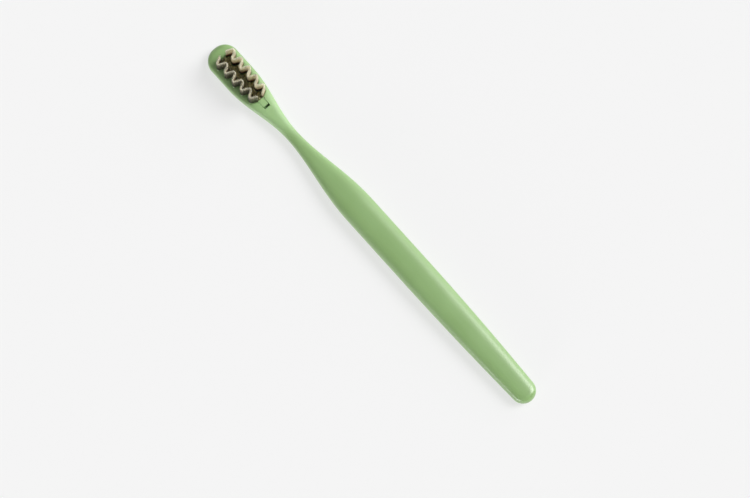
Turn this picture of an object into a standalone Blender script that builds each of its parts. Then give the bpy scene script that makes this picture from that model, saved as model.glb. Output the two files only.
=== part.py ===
# A toothbrush that lies on its back, with a bristle insert that lifts out of its head.
# Sizes are in metres. +X runs along the brush to the tip of the head, +Y across it, and +Z up
# through the bristles. A station is a distance from the tip of the head, measured back along the
# brush, so the origin lies under the middle of the brush's length.

from math import atan2, ceil, cos, floor, hypot, pi, sin, sqrt

import bmesh
import bpy
from mathutils import Matrix, Vector

COLLECTION = "toothbrush"

# Outline of the brush, seen from the bristle side
LENGTH = 0.185
HEAD_WIDTH = 0.0130
NECK_WIDTH = 0.0049
GRIP_WIDTH = 0.0129
END_WIDTH = 0.0095
TIP_ROUND = 0.0060
END_ROUND = 0.0046
SHOULDER_AT = 0.0158
NECK_LENGTH = 0.0306
SWELL_LENGTH = 0.0396
TAPER_LENGTH = 0.0670

# Side view
HEAD_THICKNESS = 0.0050
NECK_THICKNESS = 0.0045
GRIP_THICKNESS = 0.0074
END_THICKNESS = 0.0056
NECK_RISE = 0.0008
BACK_FLAT = 0.00025
EDGE_ROUND = 0.0026

# Powers of the superellipse sections: 2 is an ellipse, and more is squarer
HEAD_SQUARENESS = 3.6
NECK_SQUARENESS = 2.3
GRIP_SQUARENESS = 2.7

# Powers that shape the run from the neck to the grip and from there to the end
SWELL_POWER = 0.93
TAPER_POWER = 1.9

# The two bristle walls, each a zigzag with round lobes
WAVE_PITCH = 0.00455
WAVE_LOBES = 5
FIRST_LOBE_AT = 0.0076
WAVE_OVERRUN = 0.0019
LOBE_RADIUS = 0.0007
WALL_THICKNESS = 0.00055
RIM_WIDTH = 0.00185
CENTRE_GAP = 0.00225
WALL_HEIGHT = 0.0085
INNER_LENGTH = 0.0020
BACKING_THICKNESS = 0.0005
STRAND_WIDTH = 0.00018
STRAND_TAPER = 0.85
STRANDS_PER_ROW = 72
ROW_LAGS = (0.35, 0.65)
INNER_PITCH = 0.00082

# The plate of the insert and its tail tab
PLATE_THICKNESS = 0.0020
PLATE_LIP = 0.00015
PLATE_CORNER = 0.0006
TIP_BAR = 0.0003
TAIL_BAR = 0.0004
TAB_WIDTH = 0.0025
TAB_LENGTH = 0.0026
TAB_THICKNESS = 0.0012
TAB_CORNER = 0.0004
WELL_DEPTH = 0.0015
WELL_LEDGE = 0.0001

# Clearances
CLEARANCE = 0.0002
TAB_GAP = 0.00012
NAIL_GAP = 0.0010

# Fineness of the surfaces
RING_POINTS = 32
RING_PITCH = 0.0040
CAP_RINGS = 9
WAVE_SAMPLE = 0.00005
STRIP_STEPS = 150
OUTLINE_STEPS = 88
CORNER_STEPS = 4
OVERCUT = 0.0010
SAME_LINE = 1e-7
SAME_POINT = 1e-7

# Places that follow from the sizes
NECK_AT = SHOULDER_AT + NECK_LENGTH
GRIP_FROM = NECK_AT + SWELL_LENGTH
TAPER_FROM = LENGTH - TAPER_LENGTH
FACE = HEAD_THICKNESS
PLATE_BACK = FACE - PLATE_THICKNESS
POCKET_FLOOR = PLATE_BACK - CLEARANCE
BED_LEVEL = FACE - BACKING_THICKNESS - CLEARANCE
WELL_FLOOR = FACE - WELL_DEPTH
INNER_FACE = WELL_FLOOR + CLEARANCE + BACKING_THICKNESS
LOBE_SWING = (HEAD_WIDTH / 2 - RIM_WIDTH - WALL_THICKNESS - CENTRE_GAP / 2) / 2
WAVE_OFFSET = CENTRE_GAP / 2 + WALL_THICKNESS / 2 + LOBE_SWING
LAST_LOBE_AT = FIRST_LOBE_AT + (WAVE_LOBES - 1) * WAVE_PITCH
STRIP_FROM = FIRST_LOBE_AT - WAVE_OVERRUN
STRIP_TO = LAST_LOBE_AT + WAVE_OVERRUN
PLATE_FROM = STRIP_FROM - CLEARANCE - TIP_BAR
PLATE_TO = STRIP_TO + CLEARANCE + TAIL_BAR
TAB_TO = PLATE_TO + TAB_LENGTH

# Colour, roughness and metallic value of each piece
FINISHES = {
    "handle": ((0.250, 0.430, 0.175), 0.42, 0.0),
    "bristle_plate": ((0.250, 0.430, 0.175), 0.42, 0.0),
    "wave_bristles_left": ((0.640, 0.560, 0.400), 0.55, 0.0),
    "wave_bristles_right": ((0.640, 0.560, 0.400), 0.55, 0.0),
    "inner_bristles": ((0.130, 0.120, 0.060), 0.60, 0.0),
}


# Profiles along the brush

def ease(value, power=1.0):
    """0 below 0, 1 above 1, and a smooth half cosine between them."""
    share = min(max(value, 0.0), 1.0)
    return 0.5 - 0.5 * cos(pi * share**power)


def along(station, head, neck, grip, end):
    """A size that passes from the head's value to the neck's, the grip's and the end's."""
    narrowing = ease((station - SHOULDER_AT) / NECK_LENGTH)
    swelling = ease((station - NECK_AT) / SWELL_LENGTH, SWELL_POWER)
    tapering = min(max((station - TAPER_FROM) / TAPER_LENGTH, 0.0), 1.0) ** TAPER_POWER
    return head + (neck - head) * narrowing + (grip - neck) * swelling + (end - grip) * tapering


def rounding(station, tip_length, end_length):
    """The share of the full size that is left by an elliptic rounding at each end."""
    from_tip = max(0.0, 1 - station / tip_length)
    from_end = max(0.0, 1 - (LENGTH - station) / end_length)
    return sqrt(max(0.0, 1 - max(from_tip, from_end) ** 2))


def half_width(station):
    full = along(station, HEAD_WIDTH, NECK_WIDTH, GRIP_WIDTH, END_WIDTH) / 2
    return full * rounding(station, TIP_ROUND, END_ROUND)


def section(station):
    """The (y, z) points of the brush's section at a station."""
    power = along(station, HEAD_SQUARENESS, NECK_SQUARENESS, GRIP_SQUARENESS, GRIP_SQUARENESS)
    back = along(station, 0.0, NECK_RISE, 0.0, 0.0) - BACK_FLAT
    front = along(
        station, HEAD_THICKNESS, NECK_RISE + NECK_THICKNESS, GRIP_THICKNESS, END_THICKNESS
    )
    middle = (front + back) / 2
    half_thickness = (front - back) / 2 * rounding(station, EDGE_ROUND, EDGE_ROUND)
    points = []
    for index in range(RING_POINTS):
        angle = 2 * pi * (index + 0.5) / RING_POINTS
        across, up = cos(angle), sin(angle)
        y = half_width(station) * (1 if across > 0 else -1) * abs(across) ** (2 / power)
        z = middle + half_thickness * (1 if up > 0 else -1) * abs(up) ** (2 / power)
        points.append((y, max(z, 0.0)))
    return points


# The wave of a bristle wall

def zigzag(station):
    """The swing of the wave about its mean: straight runs between arcs of LOBE_RADIUS."""
    half_pitch = WAVE_PITCH / 2
    rise = 2 * LOBE_SWING - 2 * LOBE_RADIUS
    run = sqrt(max(0.0, half_pitch**2 + rise**2 - 4 * LOBE_RADIUS**2))
    slope = atan2(rise, half_pitch) + atan2(2 * LOBE_RADIUS, run)
    arc = LOBE_RADIUS * sin(slope)
    phase = (station - FIRST_LOBE_AT) / WAVE_PITCH
    from_lobe = abs(phase - round(phase)) * WAVE_PITCH
    if from_lobe < arc:
        return LOBE_SWING - LOBE_RADIUS + sqrt(LOBE_RADIUS**2 - from_lobe**2)
    if from_lobe > half_pitch - arc:
        to_trough = half_pitch - from_lobe
        return LOBE_RADIUS - LOBE_SWING - sqrt(LOBE_RADIUS**2 - to_trough**2)
    start = LOBE_SWING - LOBE_RADIUS * (1 - cos(slope))
    return start - (from_lobe - arc) * sin(slope) / cos(slope)


def wave(station):
    """Distance of the wall's middle line from the brush's own, drawn in as the head narrows."""
    return (WAVE_OFFSET + zigzag(station)) * half_width(station) / (HEAD_WIDTH / 2)


def wave_line():
    """The middle line of one wall as close points."""
    count = ceil((STRIP_TO - STRIP_FROM) / WAVE_SAMPLE)
    stations = [STRIP_FROM + (STRIP_TO - STRIP_FROM) * i / count for i in range(count + 1)]
    return [(station, wave(station)) for station in stations]


def spaced(line, shares):
    """A point on the line and the unit normal there, for each share of its length."""
    lengths = [0.0]
    for start, end in zip(line, line[1:]):
        lengths.append(lengths[-1] + hypot(end[0] - start[0], end[1] - start[1]))
    placed, index = [], 0
    for share in shares:
        goal = share * lengths[-1]
        while index < len(line) - 2 and lengths[index + 1] < goal:
            index += 1
        start, end = Vector(line[index]), Vector(line[index + 1])
        step = (goal - lengths[index]) / (lengths[index + 1] - lengths[index])
        direction = (end - start).normalized()
        placed.append((start.lerp(end, step), Vector((-direction.y, direction.x))))
    return placed


def edge_beside_wall(station, line, distance, outward):
    """The edge that keeps a distance from the wall's middle line, on its outer or inner side."""
    if station <= STRIP_FROM:
        return line[0][1] + outward * distance
    if station >= STRIP_TO:
        return line[-1][1] + outward * distance
    reached = []
    for along_line, across in line:
        gap = abs(along_line - station)
        if gap < distance:
            reached.append(across + outward * sqrt(distance**2 - gap**2))
    return max(reached) if outward > 0 else min(reached)


# Making of meshes

def clear_scene():
    for obj in list(bpy.data.objects):
        bpy.data.objects.remove(obj, do_unlink=True)


def new_collection(name):
    collection = bpy.data.collections.new(name)
    bpy.context.scene.collection.children.link(collection)
    return collection


def new_object(name, mesh, collection):
    obj = bpy.data.objects.new(name, mesh)
    collection.objects.link(obj)
    return obj


def loft(name, rings, start, end, collection):
    """A closed body through rings of points, drawn to a point at each end."""
    shape = bmesh.new()
    loops = [[shape.verts.new(point) for point in ring] for ring in rings]
    for lower, upper in zip(loops, loops[1:]):
        for i in range(len(lower)):
            j = (i + 1) % len(lower)
            shape.faces.new((lower[i], lower[j], upper[j], upper[i]))
    for pole, loop in ((shape.verts.new(start), loops[0]), (shape.verts.new(end), loops[-1])):
        for i in range(len(loop)):
            shape.faces.new((pole, loop[i], loop[(i + 1) % len(loop)]))
    bmesh.ops.recalc_face_normals(shape, faces=shape.faces)
    mesh = bpy.data.meshes.new(name)
    shape.to_mesh(mesh)
    shape.free()
    return new_object(name, mesh, collection)


def corners_only(outline):
    """The outline without the points that lie on a straight run between their neighbours."""
    kept = []
    for i, point in enumerate(outline):
        before = Vector(outline[i - 1])
        after = Vector(outline[(i + 1) % len(outline)])
        chord = after - before
        offset = Vector(point) - before
        if abs(chord.cross(offset)) > SAME_LINE * chord.length:
            kept.append(point)
    return kept


def slab(name, outline, low, high, collection):
    """A flat outline of (station, y) points, extruded from one level to another."""
    outline = corners_only(outline)
    curve = bpy.data.curves.new(name, "CURVE")
    curve.dimensions = "2D"
    curve.fill_mode = "BOTH"
    curve.extrude = (high - low) / 2
    spline = curve.splines.new("POLY")
    spline.points.add(len(outline) - 1)
    for point, (station, y) in zip(spline.points, outline):
        point.co = (LENGTH / 2 - station, y, 0.0, 1.0)
    spline.use_cyclic_u = True
    flat = new_object(name + "_outline", curve, collection)
    flat.location.z = (high + low) / 2
    bpy.context.view_layer.update()
    mesh = bpy.data.meshes.new_from_object(
        flat.evaluated_get(bpy.context.evaluated_depsgraph_get())
    )
    shape = bmesh.new()
    shape.from_mesh(mesh)
    bmesh.ops.remove_doubles(shape, verts=shape.verts, dist=SAME_POINT)
    bmesh.ops.recalc_face_normals(shape, faces=shape.faces)
    shape.to_mesh(mesh)
    shape.free()
    solid = new_object(name, mesh, collection)
    solid.matrix_world = flat.matrix_world
    bpy.data.objects.remove(flat, do_unlink=True)
    return solid


def strands(name, roots, foot, height, collection):
    """Four-sided strands, one at each (station, y, turn), that taper to their tips."""
    shape = bmesh.new()
    radius = STRAND_WIDTH / sqrt(2)
    for station, y, turn in roots:
        place = Matrix.Translation((LENGTH / 2 - station, y, foot + height / 2))
        bmesh.ops.create_cone(
            shape,
            cap_ends=True,
            segments=4,
            radius1=radius,
            radius2=radius * STRAND_TAPER,
            depth=height,
            matrix=place @ Matrix.Rotation(turn + pi / 4, 4, "Z"),
        )
    mesh = bpy.data.meshes.new(name)
    shape.to_mesh(mesh)
    shape.free()
    return new_object(name, mesh, collection)


def combine(obj, other, operation):
    modifier = obj.modifiers.new(operation.lower(), "BOOLEAN")
    modifier.operation = operation
    modifier.object = other
    modifier.solver = "EXACT"


def hide_helper(obj):
    obj.hide_render = True
    obj.display_type = "WIRE"


def finish(obj, name):
    colour, roughness, metallic = FINISHES[name]
    material = bpy.data.materials.new(name)
    material.use_nodes = True
    shader = material.node_tree.nodes["Principled BSDF"]
    shader.inputs["Base Color"].default_value = (*colour, 1.0)
    shader.inputs["Roughness"].default_value = roughness
    shader.inputs["Metallic"].default_value = metallic
    material.diffuse_color = (*colour, 1.0)
    obj.data.materials.append(material)


def rounded_corner(corner, radius, start_angle):
    """Points of a quarter circle that rounds an outward corner of an outline."""
    turn = Vector((cos(start_angle) - sin(start_angle), sin(start_angle) + cos(start_angle)))
    centre = Vector(corner) - radius * turn
    arc = []
    for step in range(CORNER_STEPS + 1):
        angle = start_angle + pi / 2 * step / CORNER_STEPS
        arc.append(tuple(centre + radius * Vector((cos(angle), sin(angle)))))
    return arc


# The pieces

def insert_outline(line, grow, side_grow, tab_grow):
    """The plate's outline with its tab, grown all round, at the tab's sides and past its end."""
    distance = WALL_THICKNESS / 2 + PLATE_LIP + grow
    start, stop = PLATE_FROM - grow, PLATE_TO + grow
    tab_half, tab_end = TAB_WIDTH / 2 + side_grow, TAB_TO + tab_grow
    tip_corner = (start, edge_beside_wall(start, line, distance, 1))
    half = rounded_corner(tip_corner, PLATE_CORNER, pi / 2)[::-1]
    first, last = start + PLATE_CORNER, stop
    for step in range(1, OUTLINE_STEPS + 1):
        station = first + (last - first) * step / OUTLINE_STEPS
        half.append((station, edge_beside_wall(station, line, distance, 1)))
    half.append((stop, tab_half))
    half += rounded_corner((tab_end, tab_half), TAB_CORNER, 0.0)[::-1]
    return half + [(station, -y) for station, y in reversed(half)]


def make_handle(line, parts, cutters):
    stations = [TIP_ROUND * (1 - cos(pi / 2 * i / CAP_RINGS)) for i in range(1, CAP_RINGS + 1)]
    body = LENGTH - TIP_ROUND - END_ROUND
    count = ceil(body / RING_PITCH)
    stations += [TIP_ROUND + body * i / count for i in range(1, count + 1)]
    stations += [
        LENGTH - END_ROUND * (1 - cos(pi / 2 * (1 - i / CAP_RINGS))) for i in range(1, CAP_RINGS)
    ]
    rings = [
        [(LENGTH / 2 - station, y, z) for y, z in section(station)] for station in stations
    ]
    tip = (LENGTH / 2, 0.0, (HEAD_THICKNESS - BACK_FLAT) / 2)
    end = (-LENGTH / 2, 0.0, (END_THICKNESS - BACK_FLAT) / 2)
    handle = loft("handle", rings, tip, end, parts)
    outline = insert_outline(line, CLEARANCE, TAB_GAP, NAIL_GAP)
    top = FACE + GRIP_THICKNESS
    pocket = slab("pocket_cutter", outline, POCKET_FLOOR, top, cutters)
    hide_helper(pocket)
    combine(handle, pocket, "DIFFERENCE")
    return handle


def between_walls(line, start, stop, distance):
    """An outline between the two walls that keeps a distance from their middle lines."""
    half = []
    for step in range(OUTLINE_STEPS + 1):
        station = start + (stop - start) * step / OUTLINE_STEPS
        half.append((station, edge_beside_wall(station, line, distance, -1)))
    return half + [(station, -y) for station, y in reversed(half)]


def box_outline(start, stop, half):
    return [(start, half), (stop, half), (stop, -half), (start, -half)]


def make_plate(line, parts, cutters):
    outline = insert_outline(line, 0.0, 0.0, 0.0)
    plate = slab("bristle_plate", outline, PLATE_BACK, FACE, parts)
    reach = HEAD_WIDTH / 2 + OVERCUT
    bed = slab(
        "bed_cutter",
        box_outline(STRIP_FROM - CLEARANCE, STRIP_TO + CLEARANCE, reach),
        BED_LEVEL,
        FACE + OVERCUT,
        cutters,
    )
    relief = slab(
        "tab_relief_cutter",
        box_outline(PLATE_TO, TAB_TO + OVERCUT, reach),
        PLATE_BACK - OVERCUT,
        FACE - TAB_THICKNESS,
        cutters,
    )
    between = between_walls(line, STRIP_FROM, STRIP_TO, WALL_THICKNESS / 2 + WELL_LEDGE)
    well = slab("well_cutter", between, WELL_FLOOR, FACE + OVERCUT, cutters)
    for cutter in (bed, well, relief):
        hide_helper(cutter)
        combine(plate, cutter, "DIFFERENCE")
    return plate


def make_wall(name, side, line, parts, cutters):
    """One wave of bristles, on the +Y side for 1 and the -Y side for -1."""
    half = WALL_THICKNESS / 2
    steps = spaced(line, [i / STRIP_STEPS for i in range(STRIP_STEPS + 1)])
    outer = [point + half * normal for point, normal in steps]
    inner = [point - half * normal for point, normal in steps]
    outline = [(point.x, side * point.y) for point in outer + inner[::-1]]
    wall = slab(name, outline, FACE - BACKING_THICKNESS, FACE, parts)
    roots = []
    for row, lag in zip((half / 2, -half / 2), ROW_LAGS):
        shares = [(i + lag) / STRANDS_PER_ROW for i in range(STRANDS_PER_ROW)]
        for point, normal in spaced(line, shares):
            spot = point + row * normal
            turn = atan2(normal.y, normal.x)
            roots.append((spot.x, side * spot.y, -side * turn))
    foot = FACE - BACKING_THICKNESS / 2
    tufts = strands(name + "_strands", roots, foot, FACE + WALL_HEIGHT - foot, cutters)
    hide_helper(tufts)
    combine(wall, tufts, "UNION")
    return wall, len(roots)


def make_inner_bristles(line, parts, cutters):
    start, stop = STRIP_FROM + CLEARANCE, STRIP_TO - CLEARANCE
    distance = WALL_THICKNESS / 2 + WELL_LEDGE + CLEARANCE
    outline = between_walls(line, start, stop, distance)
    bed = slab("inner_bristles", outline, INNER_FACE - BACKING_THICKNESS, INNER_FACE, parts)

    def edge(station):
        return edge_beside_wall(station, line, distance, -1)

    roots = []
    margin = STRAND_WIDTH
    rows = floor((stop - start - 2 * margin) / INNER_PITCH)
    for row in range(rows + 1):
        station = start + margin + (stop - start - 2 * margin) * row / rows
        reach = min(edge(station - margin), edge(station), edge(station + margin)) - margin
        columns = floor(2 * reach / INNER_PITCH)
        for column in range(columns + 1):
            y = (column - columns / 2) * INNER_PITCH
            roots.append((station, y, 0.0))
    foot = INNER_FACE - BACKING_THICKNESS / 2
    tufts = strands("inner_strands", roots, foot, INNER_FACE + INNER_LENGTH - foot, cutters)
    hide_helper(tufts)
    combine(bed, tufts, "UNION")
    return bed, len(roots)


def hang_on(parent, obj, place):
    """Puts the object's origin at a place on the axis that it moves along, and parents it."""
    obj.data.transform(Matrix.Translation(-place) @ obj.matrix_world)
    obj.matrix_world = Matrix.Identity(4)
    obj.parent = parent


def main():
    clear_scene()
    parts = new_collection(COLLECTION)
    cutters = new_collection(COLLECTION + "_cutters")
    line = wave_line()

    handle = make_handle(line, parts, cutters)
    plate = make_plate(line, parts, cutters)
    walls, count = [], 0
    for name, side in (("wave_bristles_left", 1), ("wave_bristles_right", -1)):
        wall, made = make_wall(name, side, line, parts, cutters)
        walls.append(wall)
        count += made
    bed, made = make_inner_bristles(line, parts, cutters)
    count += made
    print("bristle strands:", count)

    for obj in (handle, plate, *walls, bed):
        finish(obj, obj.name)
    handle.data.shade_smooth()
    handle.data.set_sharp_from_angle(angle=pi / 6)

    # The insert lifts along +Z from the middle of the pocket's floor.
    lift_axis = Vector((LENGTH / 2 - (PLATE_FROM + TAB_TO) / 2, 0.0, PLATE_BACK))
    insert = new_object("insert_lift", None, parts)
    insert.empty_display_size = HEAD_WIDTH
    insert.location = lift_axis
    for obj in (plate, *walls, bed):
        tools = [modifier.object for modifier in obj.modifiers]
        hang_on(insert, obj, lift_axis)
        for tool in tools:
            hang_on(insert, tool, lift_axis)


main()
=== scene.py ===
# A toothbrush with a lift-out bristle insert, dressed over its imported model
from math import atan2, ceil, cos, hypot, pi, radians, sin, sqrt
from random import Random

import bmesh
import bpy
from mathutils import Matrix, Vector


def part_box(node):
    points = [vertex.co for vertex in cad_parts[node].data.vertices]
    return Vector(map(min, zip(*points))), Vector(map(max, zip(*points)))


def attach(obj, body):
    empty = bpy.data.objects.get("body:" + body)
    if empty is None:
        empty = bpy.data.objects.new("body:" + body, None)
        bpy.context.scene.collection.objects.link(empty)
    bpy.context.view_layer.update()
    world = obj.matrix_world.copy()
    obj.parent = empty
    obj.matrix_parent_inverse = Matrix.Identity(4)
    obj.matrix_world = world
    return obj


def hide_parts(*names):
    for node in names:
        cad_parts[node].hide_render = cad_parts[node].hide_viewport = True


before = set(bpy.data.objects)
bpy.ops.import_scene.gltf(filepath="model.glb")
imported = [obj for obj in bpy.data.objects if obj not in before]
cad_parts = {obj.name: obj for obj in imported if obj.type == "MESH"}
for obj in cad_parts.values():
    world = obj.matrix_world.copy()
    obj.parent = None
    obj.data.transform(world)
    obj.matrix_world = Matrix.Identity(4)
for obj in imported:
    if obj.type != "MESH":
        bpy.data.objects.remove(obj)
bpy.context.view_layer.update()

handleLow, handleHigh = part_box("handle")
plateLow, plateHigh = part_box("bristle_plate")
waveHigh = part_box("wave_bristles_left")[1]
innerLow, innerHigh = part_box("inner_bristles")
print("frame loaded:", sorted(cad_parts))

# Stations are measured back along the brush from the tip of the head, in metres.
tipX = handleHigh.x
brushLength = handleHigh.x - handleLow.x

outline = {
    "headWidth": 0.0130, "neckWidth": 0.0049, "gripWidth": 0.0129, "endWidth": 0.0095,
    "shoulderAt": 0.0158, "neckLength": 0.0306, "swellLength": 0.0396, "taperLength": 0.0670,
    "swellPower": 0.93, "taperPower": 1.9,
    "tipRound": 0.0060, "endRound": 0.0046, "edgeRound": 0.0026,
    "neckThickness": 0.0045, "gripThickness": 0.0074, "endThickness": 0.0056,
    "neckRise": 0.0008, "backFlat": 0.00025,
    "headSquareness": 3.6, "neckSquareness": 2.3, "gripSquareness": 2.7,
    "ringPoints": 96, "ringPitch": 0.0011, "capRings": 18, "sharpAngle": 35,
}
faceLevel = plateHigh.z


def ease(value, power=1.0):
    share = min(max(value, 0.0), 1.0)
    return 0.5 - 0.5 * cos(pi * share ** power)


def along(station, head, neck, grip, end):
    # passes from the head's value to the neck's, the grip's and the end's
    o = outline
    neckAt = o["shoulderAt"] + o["neckLength"]
    narrowing = ease((station - o["shoulderAt"]) / o["neckLength"])
    swelling = ease((station - neckAt) / o["swellLength"], o["swellPower"])
    taper = (station - brushLength + o["taperLength"]) / o["taperLength"]
    tapering = min(max(taper, 0.0), 1.0) ** o["taperPower"]
    return head + (neck - head) * narrowing + (grip - neck) * swelling + (end - grip) * tapering


def rounding(station, atTip, atEnd):
    fromTip = max(0.0, 1 - station / atTip)
    fromEnd = max(0.0, 1 - (brushLength - station) / atEnd)
    return sqrt(max(0.0, 1 - max(fromTip, fromEnd) ** 2))


def halfWidth(station):
    o = outline
    full = along(station, o["headWidth"], o["neckWidth"], o["gripWidth"], o["endWidth"])
    return full / 2 * rounding(station, o["tipRound"], o["endRound"])


def sectionAt(station):
    # squareness, level of the middle and half thickness of the brush at a station
    o = outline
    power = along(
        station, o["headSquareness"], o["neckSquareness"], o["gripSquareness"], o["gripSquareness"]
    )
    back = along(station, 0.0, o["neckRise"], 0.0, 0.0) - o["backFlat"]
    neckFront = o["neckRise"] + o["neckThickness"]
    front = along(station, faceLevel, neckFront, o["gripThickness"], o["endThickness"])
    half = (front - back) / 2 * rounding(station, o["edgeRound"], o["edgeRound"])
    return power, (front + back) / 2, half


def faceAt(station, y):
    # level of the front of the brush at a station and a distance across
    power, middle, half = sectionAt(station)
    share = min(abs(y) / halfWidth(station), 1.0)
    return middle + half * (1 - share ** power) ** (1 / power)


wave = {
    "pitch": 0.00455, "firstLobe": 0.0076, "lobes": 5, "overrun": 0.0019, "lobeRadius": 0.0007,
    "thickness": 0.00055, "rim": 0.00185, "centreGap": 0.00225,
    "sample": 0.00003, "spareSamples": 3, "stripSteps": 400, "sharpAngle": 40,
}
wave["swing"] = (
    outline["headWidth"] / 2 - wave["rim"] - wave["thickness"] - wave["centreGap"] / 2
) / 2
wave["offset"] = wave["centreGap"] / 2 + wave["thickness"] / 2 + wave["swing"]
wave["start"] = wave["firstLobe"] - wave["overrun"]
wave["stop"] = wave["firstLobe"] + (wave["lobes"] - 1) * wave["pitch"] + wave["overrun"]


def zigzag(station):
    # straight runs between round lobes
    w = wave
    radius, swing, halfPitch = w["lobeRadius"], w["swing"], w["pitch"] / 2
    rise = 2 * (swing - radius)
    run = sqrt(halfPitch ** 2 + rise ** 2 - 4 * radius ** 2)
    slope = atan2(rise, halfPitch) + atan2(2 * radius, run)
    arc = radius * sin(slope)
    phase = (station - w["firstLobe"]) / w["pitch"]
    fromLobe = abs(phase - round(phase)) * w["pitch"]
    if fromLobe < arc:
        return swing - radius + sqrt(radius ** 2 - fromLobe ** 2)
    if fromLobe > halfPitch - arc:
        return radius - swing - sqrt(radius ** 2 - (halfPitch - fromLobe) ** 2)
    return swing - radius * (1 - cos(slope)) - (fromLobe - arc) * sin(slope) / cos(slope)


def waveAt(station):
    return (wave["offset"] + zigzag(station)) * halfWidth(station) / (outline["headWidth"] / 2)


waveCount = ceil((wave["stop"] - wave["start"]) / wave["sample"])
waveStations = [
    wave["start"] + (wave["stop"] - wave["start"]) * i / waveCount for i in range(waveCount + 1)
]
waveLine = [(station, waveAt(station)) for station in waveStations]
waveLengths = [0.0]
for a, b in zip(waveLine, waveLine[1:]):
    waveLengths.append(waveLengths[-1] + hypot(b[0] - a[0], b[1] - a[1]))


def alongWave(share):
    # the point and the outward normal at a share of the wave's length
    goal = share * waveLengths[-1]
    low, high = 0, len(waveLengths) - 2
    while low < high:
        middle = (low + high + 1) // 2
        if waveLengths[middle] <= goal:
            low = middle
        else:
            high = middle - 1
    start, end = Vector(waveLine[low]), Vector(waveLine[low + 1])
    step = (goal - waveLengths[low]) / (waveLengths[low + 1] - waveLengths[low])
    direction = (end - start).normalized()
    return start.lerp(end, step), Vector((-direction.y, direction.x))


def besideWave(station, distance, outward):
    # the edge that keeps a distance from the wave's middle line
    if station <= wave["start"]:
        return waveLine[0][1] + outward * distance
    if station >= wave["stop"]:
        return waveLine[-1][1] + outward * distance
    sample, spare = wave["sample"], wave["spareSamples"]
    first = max(0, int((station - distance - wave["start"]) / sample) - spare)
    last = int((station + distance - wave["start"]) / sample) + spare
    reached = [
        y + outward * sqrt(distance ** 2 - (x - station) ** 2)
        for x, y in waveLine[first:last] if abs(x - station) < distance
    ]
    return max(reached) if outward > 0 else min(reached)


# Shader maths

class Wire:
    # a socket that adds a Math node for each operator used on it
    def __init__(self, tree, socket):
        self.tree, self.socket = tree, socket

    def maths(self, operation, *values):
        node = self.tree.nodes.new("ShaderNodeMath")
        node.operation = operation
        for entry, value in zip(node.inputs, values):
            if isinstance(value, Wire):
                self.tree.links.new(value.socket, entry)
            else:
                entry.default_value = value
        return Wire(self.tree, node.outputs[0])

    def __add__(self, other):
        return self.maths("ADD", self, other)

    def __radd__(self, other):
        return self.maths("ADD", other, self)

    def __sub__(self, other):
        return self.maths("SUBTRACT", self, other)

    def __rsub__(self, other):
        return self.maths("SUBTRACT", other, self)

    def __mul__(self, other):
        return self.maths("MULTIPLY", self, other)

    def __rmul__(self, other):
        return self.maths("MULTIPLY", other, self)


class Finish:
    # a material whose nodes are added one call at a time
    def __init__(self, name, **fixed):
        self.material = bpy.data.materials.new(name)
        self.material.use_nodes = True
        self.tree = self.material.node_tree
        self.shader = self.tree.nodes["Principled BSDF"]
        for socket, value in fixed.items():
            self.shader.inputs[socket.replace("_", " ")].default_value = value

    def node(self, kind, settings=None, output=0, **values):
        # a socket is given by its name, or by i and its number where names repeat
        node = self.tree.nodes.new("ShaderNode" + kind)
        for key, value in (settings or {}).items():
            if key == "stops":
                while len(node.color_ramp.elements) < len(value):
                    node.color_ramp.elements.new(0.5)
                for element, (place, colour) in zip(node.color_ramp.elements, value):
                    element.position, element.color = place, (*colour, 1.0)
            else:
                setattr(node, key, value)
        for key, value in values.items():
            numbered = key[0] == "i" and key[1:].isdigit()
            socket = int(key[1:]) if numbered else key.replace("_", " ")
            self.feed(node.inputs[socket], value)
        return Wire(self.tree, node.outputs[output])

    def feed(self, entry, value):
        if isinstance(value, Wire):
            self.tree.links.new(value.socket, entry)
        elif isinstance(value, tuple) and len(value) == 3 and entry.type == "RGBA":
            entry.default_value = (*value, 1.0)
        else:
            entry.default_value = value

    def to(self, **sockets):
        for key, value in sockets.items():
            self.feed(self.shader.inputs[key.replace("_", " ")], value)
        return self.material

    def blended(self, share, other):
        # shows another shader over the principled one by a share that may vary
        both = self.node("MixShader", i0=share, i1=Wire(self.tree, self.shader.outputs[0]), i2=other)
        self.tree.links.new(both.socket, self.tree.nodes["Material Output"].inputs["Surface"])

    def place(self):
        # the object's own coordinates, which are metres in the brush's frame
        return self.node("TexCoord", output=3)

    def noise(self, place, scale, detail=2.0, roughness=0.5):
        return self.node("TexNoise", Vector=place, Scale=scale, Detail=detail, Roughness=roughness)

    def mix(self, share, first, second):
        # the colour sockets of a Mix node are its inputs 6 and 7, and its output 2
        return self.node(
            "Mix", {"data_type": "RGBA"}, output=2, i0=share, i6=first, i7=second
        )

    def bump(self, height, strength, distance):
        return self.node("Bump", Height=height, Strength=strength, Distance=distance)


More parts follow.
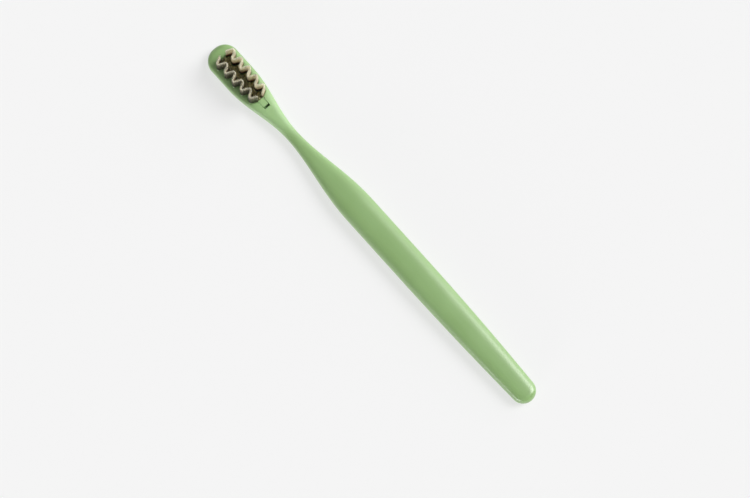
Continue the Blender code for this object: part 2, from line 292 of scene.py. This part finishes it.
def mouldedPlastic(name, look):
    # satin plastic with faint clouding, flow lines along the brush, a fine moulded grain and a
    # painted highlight on the neck
    made = Finish(name, Coat_Weight=look["coat"], Coat_Roughness=look["coatRoughness"],
                  Specular_IOR_Level=look["specular"], Subsurface_Weight=look["glow"],
                  Subsurface_Radius=look["glowRadius"], Subsurface_Scale=look["glowDepth"])
    place = made.place()
    stretched = made.node("Mapping", Vector=place, Scale=(look["flowStretch"], 1.0, 1.0))
    clouds = made.noise(place, look["cloudScale"], look["detail"])
    flow = made.noise(stretched, look["flowScale"])
    grain = made.noise(place, look["grainScale"], look["detail"], look["grainCrispness"])
    tone = clouds * look["cloudShare"] + flow * (1 - look["cloudShare"])
    toneFrom, toneTo = look["toneRange"]
    colour = made.mix(made.node("MapRange", Value=tone, i1=toneFrom, i2=toneTo),
                      look["shade"], look["tint"])
    fleckFrom, fleckTo = look["fleckRange"]
    pale = made.node("MapRange", Value=grain, i1=fleckFrom, i2=fleckTo)
    speckled = made.mix(pale * look["speckle"], colour, look["fleck"])
    lengthwise = made.node("SeparateXYZ", Vector=place)
    # painted highlight: a paler band across the neck, standing in for light that falls there
    litNeckStart, litNeckStop = tipX - look["litNeckTo"], tipX - look["litNeckFrom"]
    gently, blend = {"interpolation_type": "SMOOTHSTEP"}, look["litNeckBlend"]
    rise = made.node("MapRange", gently, Value=lengthwise, i1=litNeckStart, i2=litNeckStart + blend)
    fall = made.node("MapRange", gently, Value=lengthwise, i1=litNeckStop, i2=litNeckStop + blend)
    litNeckColour = made.mix(rise * (1 - fall) * look["litNeckShare"], speckled, look["litNeckTint"])
    rough = (look["roughness"] + (clouds - 0.5) * look["cloudRoughness"]
             + (grain - 0.5) * look["grainRoughness"])
    height = grain * look["grainShare"] + flow * (1 - look["grainShare"])
    return made.to(Base_Color=litNeckColour, Roughness=rough,
                   Normal=made.bump(height, look["bump"], look["bumpDepth"]))


def filament(name, look, low, high):
    # nylon strands, darker towards their roots, partly a stain and partly painted shade, and pale at
    # their rounded tips
    made = Finish(name, Specular_IOR_Level=look["specular"])
    place = made.place()
    level = made.node("SeparateXYZ", output=2, Vector=place)
    height = made.node("MapRange", Value=level, i1=low, i2=high)
    upright = made.node("Mapping", Vector=place, Scale=(1.0, 1.0, look["strandStretch"]))
    strand = made.noise(upright, look["strandScale"], look["strandDetail"])
    body = made.node("ValToRGB", {"stops": look["stops"]}, Fac=height)
    oddFrom, oddTo = look["oddRange"]
    share = made.node("MapRange", Value=strand, i1=oddFrom, i2=oddTo) * look["variation"]
    toned = made.mix(share, body, look["odd"])
    rough = look["roughness"] + (strand - 0.5) * look["strandRoughness"]
    if look["clear"]:
        through = made.node("BsdfTranslucent", Color=look["clearColour"])
        rise = made.node("MapRange", Value=height, i1=look["clearFrom"], i2=look["clearTo"])
        made.blended(rise * look["clear"], through)
    return made.to(Base_Color=toned, Roughness=rough,
                   Normal=made.bump(strand, look["bump"], look["bumpDepth"]))


plasticLook = {
    "tint": (0.295, 0.475, 0.188), "shade": (0.270, 0.440, 0.165), "fleck": (0.42, 0.58, 0.30),
    "speckle": 0.25, "roughness": 0.37, "specular": 0.75, "coat": 0.30, "coatRoughness": 0.30,
    "glow": 0.10, "glowRadius": (0.8, 1.0, 0.5), "glowDepth": 0.0006,
    "cloudScale": 60.0, "cloudShare": 0.6, "cloudRoughness": 0.10, "toneRange": (0.35, 0.65),
    "flowScale": 420.0, "flowStretch": 0.12,
    "grainScale": 2600.0, "grainCrispness": 0.6, "grainShare": 0.7, "grainRoughness": 0.08,
    "fleckRange": (0.62, 0.78), "detail": 3.0, "bump": 0.12, "bumpDepth": 0.00004,
    # a painted highlight: the neck is painted paler between these stations, for the light that falls
    # on it
    "litNeckFrom": 0.0315, "litNeckTo": 0.0480, "litNeckBlend": 0.008, "litNeckShare": 0.65,
    "litNeckTint": (0.395, 0.615, 0.285),
}
handlePlastic = mouldedPlastic("handlePlastic", plasticLook)
insertPlastic = mouldedPlastic("insertPlastic", dict(plasticLook, cloudScale=90.0))
print("plastics made")

creamLook = {
    # the low stops darken the roots: partly a stain and partly painted shade
    "stops": [(0.0, (0.09, 0.060, 0.025)), (0.14, (0.15, 0.085, 0.035)), (0.27, (0.46, 0.21, 0.11)),
              (0.38, (0.76, 0.48, 0.32)), (0.50, (0.84, 0.75, 0.56)), (0.8, (0.84, 0.81, 0.65)),
              (1.0, (0.66, 0.68, 0.58))],
    "odd": (0.72, 0.60, 0.40), "variation": 0.5, "oddRange": (0.35, 0.68),
    "strandScale": 5200.0, "strandStretch": 0.04, "strandDetail": 1.0,
    "roughness": 0.38, "strandRoughness": 0.15, "specular": 0.4,
    "clear": 0.88, "clearColour": (0.98, 0.965, 0.89), "clearFrom": 0.18, "clearTo": 0.42,
    "bump": 0.2, "bumpDepth": 0.00003,
}
# painted shade: a dark copy of the cream filament for the shaded side of a wave, pale only at the
# top where light reaches
shadedLook = dict(
    creamLook, odd=(0.20, 0.18, 0.11), variation=0.30, clear=0.0,
    stops=[(0.0, (0.012, 0.010, 0.004)), (0.2, (0.022, 0.019, 0.009)), (0.4, (0.039, 0.034, 0.018)),
           (0.6, (0.068, 0.060, 0.033)), (0.8, (0.160, 0.140, 0.084)), (1.0, (0.56, 0.54, 0.42))])
innerLook = {
    # darker towards the roots: partly the strands' own tone and partly painted shade
    "stops": [(0.0, (0.60, 0.60, 0.28)), (0.6, (0.90, 0.88, 0.52)), (1.0, (0.92, 0.91, 0.64))],
    "odd": (0.32, 0.31, 0.18), "variation": 0.5, "oddRange": (0.35, 0.68),
    "strandScale": 4200.0, "strandStretch": 0.04, "strandDetail": 1.0,
    "roughness": 0.42, "strandRoughness": 0.15, "specular": 0.5, "clear": 0.0,
    "bump": 0.2, "bumpDepth": 0.00003,
}
creamFilament = filament("creamFilament", creamLook, faceLevel, waveHigh.z)
shadedFilament = filament("shadedFilament", shadedLook, faceLevel, waveHigh.z)
innerFilament = filament("innerFilament", innerLook, innerLow.z, innerHigh.z)
print("filaments made")


# Meshes

def newPiece(name, mesh, material):
    piece = bpy.data.objects.new(name, mesh)
    bpy.context.scene.collection.objects.link(piece)
    if material:
        mesh.materials.append(material)
    return piece


def meshFrom(name, points, faces):
    mesh = bpy.data.meshes.new(name)
    mesh.from_pydata(points, [], faces)
    mesh.update()
    return mesh


def stackedOutline(name, layers):
    # a closed body through outlines of (station, y), each at a level or at a function's levels
    points, faces = [], []
    count = len(layers[0][1])
    for level, loop in layers:
        for station, y in loop:
            points.append((tipX - station, y, level(station, y) if callable(level) else level))
    for layer in range(len(layers) - 1):
        for i in range(count):
            j = (i + 1) % count
            low, high = layer * count, (layer + 1) * count
            faces.append((low + i, low + j, high + j, high + i))
    faces.append(tuple(range(count))[::-1])
    faces.append(tuple(range((len(layers) - 1) * count, len(layers) * count)))
    mesh = meshFrom(name, points, faces)
    shape = bmesh.new()
    shape.from_mesh(mesh)
    bmesh.ops.recalc_face_normals(shape, faces=shape.faces)
    shape.to_mesh(mesh)
    shape.free()
    return mesh


def carve(piece, *cutters):
    # cuts each cutter out of the piece for good, then removes the cutter
    for cutter in cutters:
        cut = piece.modifiers.new("cut", "BOOLEAN")
        cut.operation, cut.object, cut.solver = "DIFFERENCE", cutter, "EXACT"
    bpy.context.view_layer.update()
    graph = bpy.context.evaluated_depsgraph_get()
    mesh = bpy.data.meshes.new_from_object(piece.evaluated_get(graph))
    old = piece.data
    piece.modifiers.clear()
    piece.data = mesh
    mesh.name = old.name
    bpy.data.meshes.remove(old)
    for cutter in cutters:
        bpy.data.objects.remove(cutter, do_unlink=True)


def smooth(piece, angle):
    piece.data.shade_smooth()
    piece.data.set_sharp_from_angle(angle=radians(angle))


def cornerArc(corner, radius, startAngle, steps):
    turn = Vector((cos(startAngle) - sin(startAngle), sin(startAngle) + cos(startAngle)))
    centre = Vector(corner) - radius * turn
    angles = [startAngle + pi / 2 * i / steps for i in range(steps + 1)]
    return [tuple(centre + radius * Vector((cos(a), sin(a)))) for a in angles]


plate = {
    "lip": 0.00015, "corner": 0.0006, "tipBar": 0.0003, "tailBar": 0.0004, "clearance": 0.0002,
    "tabWidth": 0.0025, "tabLength": 0.0026, "tabThickness": 0.0012, "tabCorner": 0.0004,
    "fit": 0.00011, "nailGap": 0.0010, "backing": 0.0005, "ledge": 0.0001, "edge": 0.00008,
    "slack": 0.00004, "overcut": 0.001, "steps": 260, "cornerSteps": 8,
}
plateStart = wave["start"] - plate["clearance"] - plate["tipBar"]
plateStop = wave["stop"] + plate["clearance"] + plate["tailBar"]
tabStop = plateStop + plate["tabLength"]
pocketFloor = plateLow.z - plate["clearance"]
bedLevel = faceLevel - plate["backing"] - plate["clearance"]
wellFloor = innerLow.z - plate["clearance"]


def insertOutline(grow, sideGrow, tabGrow):
    # the plate's outline with its tab, grown all round, at the tab's sides and past its end
    p = plate
    distance = wave["thickness"] / 2 + p["lip"] + grow
    start, stop = plateStart - grow, plateStop + grow
    tabHalf = p["tabWidth"] / 2 + sideGrow
    corner = (start, besideWave(start, distance, 1))
    half = cornerArc(corner, p["corner"], pi / 2, p["cornerSteps"])[::-1]
    first = start + p["corner"]
    for i in range(1, p["steps"] + 1):
        station = first + (stop - first) * i / p["steps"]
        half.append((station, besideWave(station, distance, 1)))
    half.append((stop, tabHalf))
    tabEnd = (tabStop + tabGrow, tabHalf)
    half += cornerArc(tabEnd, p["tabCorner"], 0.0, p["cornerSteps"])[::-1]
    return half + [(station, -y) for station, y in reversed(half)]


def betweenWaves(start, stop, distance):
    # an outline between the two waves that keeps a distance from their middle lines
    half = []
    for i in range(plate["steps"] + 1):
        station = start + (stop - start) * i / plate["steps"]
        half.append((station, besideWave(station, distance, -1)))
    return half + [(station, -y) for station, y in reversed(half)]


def makeHandle():
    o = outline
    rings = o["capRings"]
    stations = [o["tipRound"] * (1 - cos(pi / 2 * i / rings)) for i in range(1, rings + 1)]
    body = brushLength - o["tipRound"] - o["endRound"]
    count = ceil(body / o["ringPitch"])
    stations += [o["tipRound"] + body * i / count for i in range(1, count + 1)]
    stations += [
        brushLength - o["endRound"] * (1 - cos(pi / 2 * (1 - i / rings))) for i in range(1, rings)
    ]
    points, faces = [], []
    n = o["ringPoints"]
    for station in stations:
        power, middle, half = sectionAt(station)
        for i in range(n):
            angle = 2 * pi * (i + 0.5) / n
            across, up = cos(angle), sin(angle)
            y = halfWidth(station) * (1 if across > 0 else -1) * abs(across) ** (2 / power)
            z = middle + half * (1 if up > 0 else -1) * abs(up) ** (2 / power)
            points.append((tipX - station, y, max(z, 0.0)))
    for ring in range(len(stations) - 1):
        for i in range(n):
            j = (i + 1) % n
            faces.append((ring * n + i, ring * n + j, ring * n + n + j, ring * n + n + i))
    tip = len(points)
    points += [(tipX, 0, (faceLevel - o["backFlat"]) / 2),
               (tipX - brushLength, 0, (o["endThickness"] - o["backFlat"]) / 2)]
    last = (len(stations) - 1) * n
    for i in range(n):
        j = (i + 1) % n
        faces += [(tip, j, i), (tip + 1, last + i, last + j)]
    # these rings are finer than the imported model's, and are drawn in to its width
    squeeze = handleHigh.y / max(p[1] for p in points)
    points = [(x, y * squeeze, z) for x, y, z in points]
    handle = newPiece("handleMoulding", meshFrom("handleMoulding", points, faces), handlePlastic)
    fit, nailGap, edge = plate["fit"], plate["nailGap"], plate["edge"]
    grown = insertOutline(fit, fit, nailGap)
    mouth = insertOutline(fit + 2 * edge, fit + 2 * edge, nailGap + 2 * edge)
    pocket = newPiece("pocket", stackedOutline("pocket", [
        (pocketFloor, grown),
        (lambda station, y: faceAt(station, y) - edge, grown),
        (lambda station, y: faceAt(station, y) + edge, mouth),
        (handleHigh.z + plate["overcut"], mouth),
    ]), None)
    carve(handle, pocket)
    smooth(handle, o["sharpAngle"])
    return handle


handle = makeHandle()
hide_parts("handle")
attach(handle, "handle")
print("handle made:", len(handle.data.polygons), "faces")


def rectangle(start, stop, half):
    return [(start, half), (stop, half), (stop, -half), (start, -half)]


def stripOutline(side, grow):
    # the outline of the strip that a wave's strands stand on, grown all round
    half = wave["thickness"] / 2 + grow
    count = wave["stripSteps"]
    steps = [alongWave(i / count) for i in range(count + 1)]
    ends = []
    for (spot, normal), way in ((steps[0], -1), (steps[-1], 1)):
        ends.append((spot + way * grow * Vector((normal.y, -normal.x)), normal))
    steps = [ends[0]] + steps[1:-1] + [ends[1]]
    outer = [spot + half * normal for spot, normal in steps]
    inner = [spot - half * normal for spot, normal in steps]
    return [(spot.x, side * spot.y) for spot in outer + inner[::-1]]


def makePlate():
    edge = plate["edge"]
    body, worn = insertOutline(0.0, 0.0, 0.0), insertOutline(-edge, -edge, -edge)
    piece = newPiece("bristlePlate", stackedOutline("bristlePlate", [
        (plateLow.z, body), (faceLevel - edge, body), (faceLevel, worn)]), insertPlastic)
    reach, far, slack = outline["headWidth"], plate["overcut"], plate["slack"]
    left, right = stripOutline(1, slack), stripOutline(-1, slack)
    relief = rectangle(plateStop, tabStop + far, reach)
    well = betweenWaves(wave["start"], wave["stop"], wave["thickness"] / 2 - slack)
    top = faceLevel + far
    carve(
        piece,
        newPiece("left", stackedOutline("left", [(bedLevel, left), (top, left)]), None),
        newPiece("right", stackedOutline("right", [(bedLevel, right), (top, right)]), None),
        newPiece("well", stackedOutline("well", [(wellFloor, well), (top, well)]), None),
        newPiece("relief", stackedOutline("relief", [
            (plateLow.z - far, relief), (faceLevel - plate["tabThickness"], relief)]), None),
    )
    smooth(piece, outline["sharpAngle"])
    return piece


platePiece = makePlate()
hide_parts("bristle_plate")
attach(platePiece, "insert")
print("plate made")

bristles = {
    "width": 0.00020, "pitch": 0.00021, "lean": 0.00004, "bend": 1.6, "jitter": 0.00001,
    "heightSpread": 0.00010, "heightSigma": 0.35, "firstAt": 0.25, "lag": 0.5,
    "innerPitch": 0.00082, "innerSpread": 0.00022, "innerLean": 0.00016,
    "tuft": 7, "tuftRadius": 0.00017, "tuftSpread": 0.00044, "splay": 0.5,
    "sides": 6, "midRing": 0.55, "shoulderDrop": 0.9, "crownDrop": 0.3, "crownSize": 0.7,
    "sharpAngle": 50, "innerSeed": 13,
}


def addStrand(points, faces, foot, root, top, lean, radius, turn):
    # a strand with a rounded tip, whose rings are shares of its height and of its radius
    b = bristles
    sides = b["sides"]
    start = len(points)
    rise = top - foot
    shoulderAt, crownAt = 1 - b["shoulderDrop"] * radius / rise, 1 - b["crownDrop"] * radius / rise
    rings = ((0.0, 1.0), (b["midRing"], 1.0), (shoulderAt, 1.0), (crownAt, b["crownSize"]))
    for share, size in rings:
        bend = share ** b["bend"]
        for i in range(sides):
            angle = turn + 2 * pi * i / sides
            points.append((
                root[0] + lean[0] * bend + radius * size * cos(angle),
                root[1] + lean[1] * bend + radius * size * sin(angle),
                foot + rise * share,
            ))
    points.append((root[0] + lean[0], root[1] + lean[1], top))
    for ring in range(len(rings) - 1):
        for i in range(sides):
            j = (i + 1) % sides
            low, high = start + ring * sides, start + ring * sides + sides
            faces.append((low + i, low + j, high + j, high + i))
    crown = start + (len(rings) - 1) * sides
    for i in range(sides):
        faces.append((crown + i, crown + (i + 1) % sides, start + len(rings) * sides))
    faces.append(tuple(start + i for i in range(sides))[::-1])


def makeRow(name, side, across, material, random):
    # one row of a wave's strands, at a distance outwards from its middle line
    b = bristles
    points, faces = [], []
    count = int(waveLengths[-1] / b["pitch"])
    radius = b["width"] / 2
    foot = faceLevel - plate["backing"] / 2
    lag = random.random() * b["lag"]
    for i in range(count):
        spot, normal = alongWave((i + b["firstAt"] + lag) / count)
        spot = spot + normal * (across + random.uniform(-1, 1) * b["jitter"])
        top = waveHigh.z - abs(random.gauss(0, b["heightSigma"])) * b["heightSpread"]
        lean = (random.gauss(0, b["lean"]), random.gauss(0, b["lean"]))
        root = (tipX - spot.x, side * spot.y)
        addStrand(points, faces, foot, root, top, lean, radius, random.uniform(0, pi))
    strands = newPiece(name, meshFrom(name, points, faces), material)
    smooth(strands, b["sharpAngle"])
    return strands


def makeWave(name, side, seed, outer):
    # a row of strands inside, a row outside and the strip that they stand on
    random = Random(seed)
    half = wave["thickness"] / 2
    reach = half - bristles["width"] / 2
    inside = makeRow(name + "Inside", side, -reach, creamFilament, random)
    outside = makeRow(name + "Outside", side, reach, outer, random)
    loop = stripOutline(side, 0.0)
    low = faceLevel - plate["backing"]
    # the strip wears the painted-shade filament
    foot = newPiece(name + "Foot", stackedOutline(name + "Foot", [(low, loop), (faceLevel, loop)]),
                    shadedFilament)
    smooth(foot, wave["sharpAngle"])
    return inside, outside, foot


# the left wave's outer row wears the painted-shade filament, the right wave's outer row the cream
# one
for name, node, side, seed, outer in (
        ("leftWave", "wave_bristles_left", 1, 11, shadedFilament),
        ("rightWave", "wave_bristles_right", -1, 12, creamFilament)):
    pieces = makeWave(name, side, seed, outer)
    for piece in pieces:
        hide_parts(node)
        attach(piece, "insert")
    print(name, "made:", sum(len(piece.data.polygons) for piece in pieces), "faces")


def makeInner():
    # tufts of short strands in rows across the well, on their own bed
    b, p = bristles, plate
    random = Random(b["innerSeed"])
    start, stop = wave["start"] + p["clearance"], wave["stop"] - p["clearance"]
    distance = wave["thickness"] / 2 + p["ledge"] + p["clearance"]
    loop = betweenWaves(start, stop, distance)
    bed = newPiece("innerBed", stackedOutline("innerBed", [
        (innerLow.z, loop), (innerLow.z + p["backing"], loop)]), innerFilament)
    smooth(bed, wave["sharpAngle"])
    points, faces = [], []
    radius, margin = b["width"] / 2, b["tuftRadius"] + b["width"] / 2
    rows = int((stop - start - 2 * margin) / b["innerPitch"])
    foot = innerLow.z + p["backing"] / 2
    for row in range(rows + 1):
        station = start + margin + (stop - start - 2 * margin) * row / rows
        reach = min(besideWave(station + d, distance, -1) for d in (-margin, 0, margin)) - margin
        columns = int(2 * reach / b["innerPitch"])
        for column in range(columns + 1):
            y = (column - columns / 2) * b["innerPitch"]
            tuftTop = innerHigh.z - random.random() * b["tuftSpread"]
            tuftLean = (random.gauss(0, b["innerLean"]), random.gauss(0, b["innerLean"]))
            for k in range(b["tuft"]):
                angle = 2 * pi * k / (b["tuft"] - 1) + row
                out = 0.0 if k == 0 else b["tuftRadius"]
                root = (tipX - station + out * cos(angle), y + out * sin(angle))
                splay = out * b["splay"]
                lean = (tuftLean[0] + random.gauss(0, b["lean"]) + splay * cos(angle),
                        tuftLean[1] + random.gauss(0, b["lean"]) + splay * sin(angle))
                top = tuftTop - random.random() * b["innerSpread"]
                addStrand(points, faces, foot, root, top, lean, radius, random.uniform(0, pi))
    strands = newPiece("innerBristles", meshFrom("innerBristles", points, faces), innerFilament)
    smooth(strands, b["sharpAngle"])
    return strands, bed


for piece in makeInner():
    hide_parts("inner_bristles")
    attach(piece, "insert")
print("inner bristles made")


# Floor, light and camera

floorLook = {
    "size": 6.0, "colour": (0.24, 0.24, 0.24), "roughness": 0.9, "specular": 0.1,
    "glow": 0.68, "glowColour": (1.0, 1.0, 1.0),
}


def makeFloor():
    look = floorLook
    half = look["size"] / 2
    points = [(-half, -half, 0), (half, -half, 0), (half, half, 0), (-half, half, 0)]
    made = Finish("floorPaper", Specular_IOR_Level=look["specular"], Roughness=look["roughness"],
                  Emission_Strength=look["glow"])
    made.to(Base_Color=look["colour"], Emission_Color=look["glowColour"])
    floor = newPiece("floor", meshFrom("floor", points, [(0, 1, 2, 3)]), made.material)


makeFloor()

lightLook = {
    "key": {"strength": 2.9, "angle": 34.0, "along": -0.38, "across": -0.84, "up": 0.95},
    "side": {"strength": 1.0, "angle": 50.0, "along": -0.10, "across": -1.0, "up": 0.18},
    "fill": {"strength": 2.8, "angle": 30.0, "along": -0.30, "across": 0.90, "up": 0.0},
    "sky": 0.18, "backdrop": 0.92,
}


def makeLights():
    # broad suns, a low sky and a brighter one that only the camera sees behind the floor
    for name in ("key", "side", "fill"):
        look = lightLook[name]
        data = bpy.data.lights.new(name, "SUN")
        data.energy, data.angle = look["strength"], radians(look["angle"])
        lamp = bpy.data.objects.new(name, data)
        toLight = Vector((look["along"], look["across"], look["up"]))
        lamp.rotation_euler = toLight.to_track_quat("Z", "Y").to_euler()
        bpy.context.scene.collection.objects.link(lamp)
    world = bpy.context.scene.world or bpy.data.worlds.new("studio")
    bpy.context.scene.world = world
    world.use_nodes = True
    tree = world.node_tree
    sky, paper = tree.nodes["Background"], tree.nodes.new("ShaderNodeBackground")
    for part, strength in ((sky, lightLook["sky"]), (paper, lightLook["backdrop"])):
        part.inputs["Color"].default_value = (1.0, 1.0, 1.0, 1.0)
        part.inputs["Strength"].default_value = strength
    seen, both = tree.nodes.new("ShaderNodeLightPath"), tree.nodes.new("ShaderNodeMixShader")
    tree.links.new(seen.outputs["Is Camera Ray"], both.inputs[0])
    tree.links.new(sky.outputs[0], both.inputs[1])
    tree.links.new(paper.outputs[0], both.inputs[2])
    tree.links.new(both.outputs[0], tree.nodes["World Output"].inputs["Surface"])
    bpy.context.scene.view_settings.view_transform = "Standard"


makeLights()

shot = {
    "distance": 0.90, "tiltAlong": -6.0, "tiltAcross": 7.4, "roll": -41.84,
    "aim": (-0.0088, 0.0059, 0.004), "focalPixels": 2328.0, "frameWidth": 750.0, "sensor": 36.0,
    "nearest": 0.01, "farthest": 20.0,
}


def makeCamera():
    back = Vector((sin(radians(shot["tiltAlong"])), sin(radians(shot["tiltAcross"])), 0.0))
    back.z = sqrt(1 - back.length_squared)
    up = Vector((cos(radians(shot["roll"])), sin(radians(shot["roll"])), 0.0))
    up = (up - back * up.dot(back)).normalized()
    right = up.cross(back)
    data = bpy.data.cameras.new("camera")
    data.sensor_width = shot["sensor"]
    data.lens = shot["focalPixels"] / shot["frameWidth"] * shot["sensor"]
    data.clip_start, data.clip_end = shot["nearest"], shot["farthest"]
    camera = bpy.data.objects.new("camera", data)
    turn = Matrix((right, up, back)).transposed().to_4x4()
    camera.matrix_world = Matrix.Translation(Vector(shot["aim"]) + back * shot["distance"]) @ turn
    bpy.context.scene.collection.objects.link(camera)
    bpy.context.scene.camera = camera


makeCamera()
print("floor, light and camera made")
